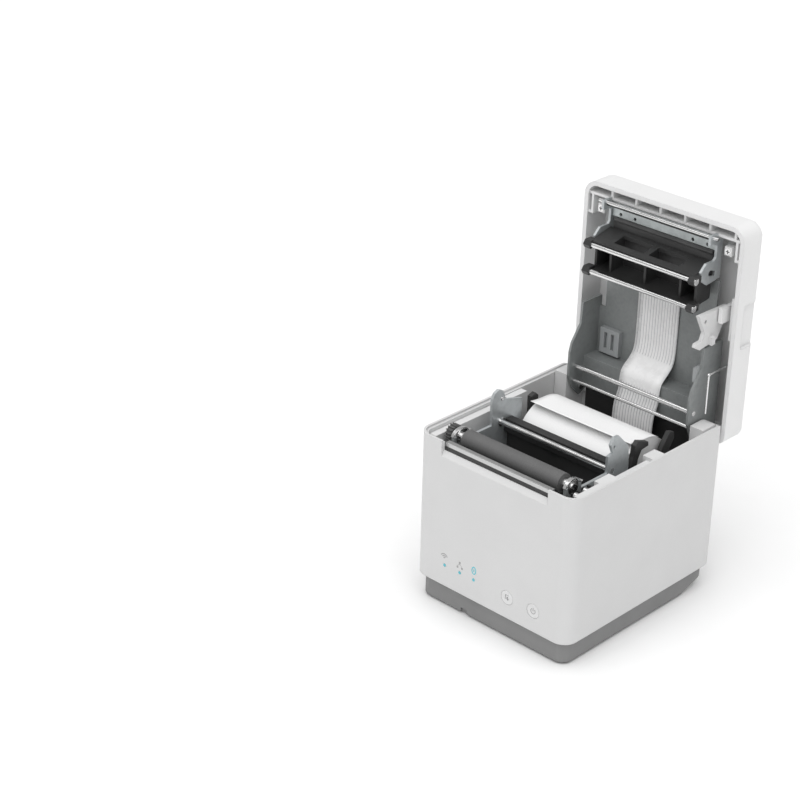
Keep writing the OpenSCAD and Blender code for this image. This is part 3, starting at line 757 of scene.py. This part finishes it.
def latch_block():
    """Black ribbed block beside the platen's right end, with small steel catches; its black is painted
    shade, standing in for the dark deep hole there.
    """
    bm = bmesh.new()
    box(bm, (33.3, -46.0, 62), (38.6, -30.2, 76.4))
    for i in range(5):
        y = -45.0 + 3.5 * i
        box(bm, (33.6, y, 76.3), (38.3, y + 0.9, 79.2))
    box(bm, (35.6, -45.0, 76.3), (36.4, -30.6, 78.4))
    # Black block filling the deep hole: painted shade of that hole.
    piece("latch_block", bm, "case", "black_plastic", smooth=0, edge=0.15)
    catches = bmesh.new()
    for y in (-43.4, -37.2):
        hook = [(0, 76.5), (0.2, 79.0), (1.3, 80.4), (2.6, 80.2), (3.3, 78.8)]
        path = [mm(36.9, y + along, z) for along, z in hook]
        strip(catches, smooth_path(path, 4), 1.7, 0.3, (1, 0, 0))
    piece("latch_catches", catches, "case", "steel_bright", smooth=50, edge=0.05)


def screw_recess_shade(name, point, axis, body, r):
    """Cross recess of a screw head, shown as a black cross: painted shade of the recess."""
    axis = Vector(axis).normalized()
    across = Vector((1, 0, 0)) if abs(axis.x) < 0.5 else Vector((0, 1, 0))
    up = axis.cross(across)
    w = 0.22
    reach = 0.6 * r * MM
    corners = [(w, w), (w, 1), (-w, 1), (-w, w), (-1, w), (-1, -w), (-w, -w), (-w, -1), (w, -1),
               (w, -w), (1, -w), (1, w)]
    bm = bmesh.new()
    plate(bm, corners, -0.2, 0.03,
          lambda a, b, d: point + (across * a + up * b) * reach + axis * d * MM)
    # The black cross is painted shade of the recess, not the colour of the screw.
    piece(name, bm, body, "steel_bright", "black_plastic", smooth=0)


def screws():
    """Painted shade of the cross recesses of the two screws in the rear, then of the two in the lid."""
    rear_x, lid_x = 37, 35.1
    rear_y, lid_y = face("case_screws", "y1"), face("lid_screws", "y0")
    rear_z, lid_z = (middle(name).z / MM for name in ("case_screws", "lid_screws"))
    for side, word in SIDES:
        point = mm(side * rear_x, rear_y, rear_z)
        screw_recess_shade(f"case_screw_drive_{word}", point, (0, 1, 0), "case", 2.2)
    for side, word in SIDES:
        point = mm(side * lid_x, lid_y, lid_z)
        screw_recess_shade(f"lid_screw_drive_{word}", point, (0, -1, 0), "lid", 1.6)


# ---------- rear ----------

def rear_panel():
    """Grey panel between the sockets in the rear opening."""
    y0, y1 = 49.5, 50.4
    left, right = -30.8, 30.8
    sill, lintel = 15, 29
    overlap = 0.02
    bm = bmesh.new()
    for x0, x1 in ((left, -29), (-17, -13.5), (-2, 1.5), (14, 16), (30, right)):
        box(bm, (x0, y0, sill - overlap), (x1, y1, lintel + overlap))
    box(bm, (left, y0, 11.4), (right, y1, sill))
    box(bm, (left, y0, lintel), (right, y1, 31.3))
    piece("rear_panel", bm, "case", "base_grey", smooth=0)


def contact_row(name, first_x, count, low, slot):
    """A row of sprung contacts in a rear socket, their inner ends at the height low."""
    pitch = 1.02
    bm = bmesh.new()
    for i in range(count):
        x = first_x + pitch * i
        path = [mm(x, 44, low), mm(x, 46, low + 0.8), mm(x, 48.5, 19.6), mm(x, 50.4, low + 0.1)]
        strip(bm, smooth_path(path, 3), 0.4, 0.15, (1, 0, 0))
    piece(name, bm, "case", slot, "contact_gold")


def blank_plate():
    """Blank rating plate on the rear, with a thin raised border."""
    back = face("upper_case", "y1")
    outline = []
    for cx, cz, start in ((15, 60, 0), (-15, 60, 90), (-15, 46, 180), (15, 46, 270)):
        for i in range(7):
            a = math.radians(start + 15 * i)
            outline.append((cx + 2 * math.cos(a), cz + 2 * math.sin(a)))
    bm = bmesh.new()
    plate(bm, outline, -0.1, 0.12, lambda a, b, d: mm(a, back + d, b))
    piece("rating_plate", bm, "case", "button_grey", smooth=0, edge=0.05)


# ---------- stage ----------

def camera():
    """The photograph's viewpoint."""
    data = bpy.data.cameras.new("camera")
    cam = bpy.data.objects.new("camera", data)
    bpy.context.scene.collection.objects.link(cam)
    bpy.context.scene.camera = cam
    place = (0.4943, -0.6306, 0.4933)
    forward = Vector((-0.61652, 0.64784, -0.44745)).normalized()
    right = forward.cross(Vector((0, 0, 1))).normalized()
    up = right.cross(forward)
    roll = math.radians(1.37)
    across = right * math.cos(roll) + up * math.sin(roll)
    above = up * math.cos(roll) - right * math.sin(roll)
    turn = Matrix((across, above, -forward)).transposed()
    cam.matrix_world = Matrix.Translation(place) @ turn.to_4x4()
    data.lens = 91.47
    data.sensor_width = 36
    data.clip_start = 0.02
    data.clip_end = 20


def soft_light(name, come_from, strength, spread):
    """An even soft light from one side; spread is its angle in degrees."""
    data = bpy.data.lights.new(name, "SUN")
    data.energy = strength
    data.angle = math.radians(spread)
    obj = bpy.data.objects.new(name, data)
    bpy.context.scene.collection.objects.link(obj)
    obj.location = come_from
    obj.rotation_mode = "QUATERNION"
    obj.rotation_quaternion = (-Vector(come_from)).to_track_quat("-Z", "Y")


def studio():
    """Plain pale floor, white surroundings and two soft lights."""
    bm = bmesh.new()
    bmesh.ops.create_grid(bm, x_segments=4, y_segments=4, size=4.0)
    mesh = bpy.data.meshes.new("floor")
    bm.to_mesh(mesh)
    bm.free()
    floor = bpy.data.objects.new("floor", mesh)
    bpy.context.scene.collection.objects.link(floor)
    g = Graph("floor")
    tone = g.mix(g.ramp(g.noise(60.0), 0.0, 1.0), shade(0.93, 1.0), shade(0.95, 1.0))
    mesh.materials.append(g.finish(tone, g.ramp(g.noise(20.0), 0.75, 0.85), g.bump(g.noise(0.6), 0.01)))
    world = bpy.data.worlds.new("surroundings")
    world.use_nodes = True
    world.node_tree.nodes["Background"].inputs["Color"].default_value = (1, 1, 1, 1)
    world.node_tree.nodes["Background"].inputs["Strength"].default_value = 0.45
    bpy.context.scene.world = world
    soft_light("overhead", (0.12, -0.25, 1.0), 2.3, 80)
    soft_light("front", (0.5, -1.0, 0.6), 0.1, 50)
    bpy.context.scene.view_settings.view_transform = "Standard"


def main():
    camera()
    studio()
    finish_cad_nodes()
    signal_icon()
    network_icon()
    link_icon()
    key_cap("feed", 11.1, "feed_key", feed_symbol)
    key_cap("power", 26, "power_key", power_symbol)
    curled_paper()
    ribbon_cable()
    platen_springs()
    tear_edge()
    head_parts()
    rod_clips()
    rivets()
    latch_block()
    screws()
    rear_panel()
    contact_row("network_contacts", 19.4, 8, 17.4, "connector_steel")
    contact_row("drawer_contacts", 5.2, 6, 17.6, "black_plastic")
    blank_plate()


main()
